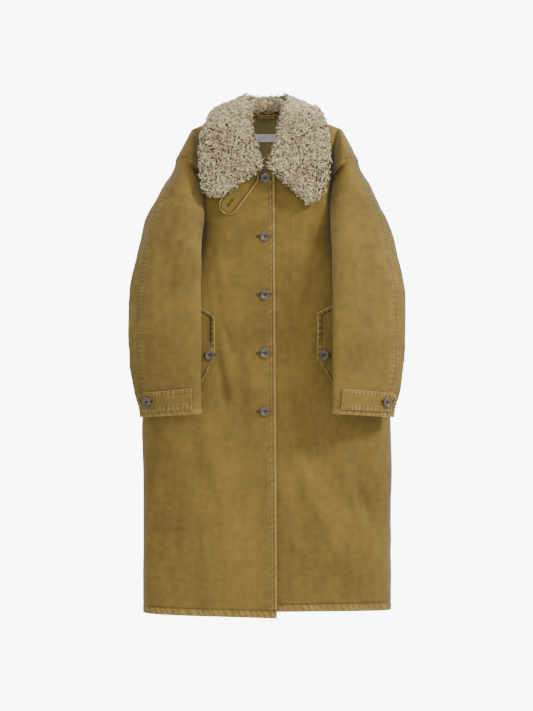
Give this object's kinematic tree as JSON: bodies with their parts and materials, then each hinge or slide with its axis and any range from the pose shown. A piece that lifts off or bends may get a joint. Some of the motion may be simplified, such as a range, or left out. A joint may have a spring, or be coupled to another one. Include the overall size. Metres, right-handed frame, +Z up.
{
  "type": "long canvas coat",
  "caption": "Long canvas coat with dropped shoulders, wide sleeves, pile collar, button cuff tabs, flap pockets, throat latch and buttoned front",
  "frame": {"origin": "middle of the hanger loop at the back of the neck", "axes": "+Z up, -Y towards the coat's front, +X towards the wearer's left"},
  "size_m": [0.665, 0.2623, 1.2644],
  "materials": {
    "canvas": "washed cotton canvas",
    "lining": "plain cotton",
    "pile": "curly pile",
    "button": "horn look",
    "label": "woven tape, blank"
  },
  "bodies": {
    "coat": {"right_front_panel": "canvas", "left_front_panel": "canvas", "left_front_facing": "canvas", "right_front_lining": "lining", "left_front_lining": "lining", "back_lining": "lining", "right_back_panel": "canvas", "left_back_panel": "canvas", "right_shoulder_cap": "canvas", "left_shoulder_cap": "canvas", "right_pocket_bag": "lining", "left_pocket_bag": "lining", "right_pocket_button": "button", "left_pocket_button": "button", "back_under_collar": "canvas", "back_pile_collar": "pile", "neckband": "canvas", "neck_facing": "lining", "size_label": "label", "hanger_loop": "canvas", "latch_button": "button", "front_button_1": "button", "front_button_2": "button", "front_button_3": "button", "front_button_4": "button", "front_button_5": "button"},
    "right_skirt": {"right_front_skirt": "canvas", "right_front_facing": "canvas", "right_skirt_lining": "lining"},
    "right_sleeve": {"right_sleeve_front": "canvas", "right_sleeve_back": "canvas", "right_sleeve_lining": "lining", "right_cuff_facing": "canvas", "right_cuff_button": "button"},
    "right_tab": {"right_cuff_tab": "canvas"},
    "right_flap": {"right_pocket_flap": "canvas"},
    "right_wing": {"right_under_collar": "canvas", "right_pile_collar": "pile"},
    "left_sleeve": {"left_sleeve_front": "canvas", "left_sleeve_back": "canvas", "left_sleeve_lining": "lining", "left_cuff_facing": "canvas", "left_cuff_button": "button"},
    "left_tab": {"left_cuff_tab": "canvas"},
    "left_flap": {"left_pocket_flap": "canvas"},
    "left_wing": {"left_under_collar": "canvas", "left_pile_collar": "pile"},
    "latch": {"throat_latch": "canvas"}
  },
  "joints": [
    {"name": "right_sleeve_swing", "type": "hinge", "parent": "coat", "child": "right_sleeve", "pos_m": [-0.24, -0.0314, -0.103], "axis": [0, 1, 0], "range_deg": [0, 60]},
    {"name": "right_tab_lift", "type": "hinge", "parent": "right_sleeve", "child": "right_tab", "pos_m": [-0.1795, -0.187, -0.69], "axis": [0, 0, 1], "range_deg": [0, 60]},
    {"name": "right_flap_lift", "type": "hinge", "parent": "coat", "child": "right_flap", "pos_m": [-0.1915, -0.1049, -0.571], "axis": [-0.0079, 0, -1], "range_deg": [0, 55]},
    {"name": "left_sleeve_swing", "type": "hinge", "parent": "coat", "child": "left_sleeve", "pos_m": [0.24, -0.0314, -0.103], "axis": [0, -1, 0], "range_deg": [0, 60]},
    {"name": "left_tab_lift", "type": "hinge", "parent": "left_sleeve", "child": "left_tab", "pos_m": [0.1795, -0.187, -0.69], "axis": [0, 0, -1], "range_deg": [0, 60]},
    {"name": "left_flap_lift", "type": "hinge", "parent": "coat", "child": "left_flap", "pos_m": [0.1915, -0.1049, -0.571], "axis": [-0.0079, 0, 1], "range_deg": [0, 55]},
    {"name": "right_wing_lift", "type": "hinge", "parent": "coat", "child": "right_wing", "pos_m": [-0.01, -0.1254, -0.122], "axis": [-0.2219, 0.3899, 0.8937], "range_deg": [0, 30]},
    {"name": "left_wing_lift", "type": "hinge", "parent": "coat", "child": "left_wing", "pos_m": [0.004, -0.1254, -0.122], "axis": [-0.2502, -0.3871, -0.8874], "range_deg": [0, 30]},
    {"name": "latch_swing", "type": "hinge", "parent": "coat", "child": "latch", "pos_m": [-0.044, -0.106, -0.15], "axis": [0, 1, 0], "range_deg": [-45, 10]},
    {"name": "right_front_open", "type": "hinge", "parent": "coat", "child": "right_skirt", "pos_m": [-0.024, -0.1109, -0.151], "axis": [-0.1948, 0, -0.9808], "range_deg": [0, 90]}
  ]
}
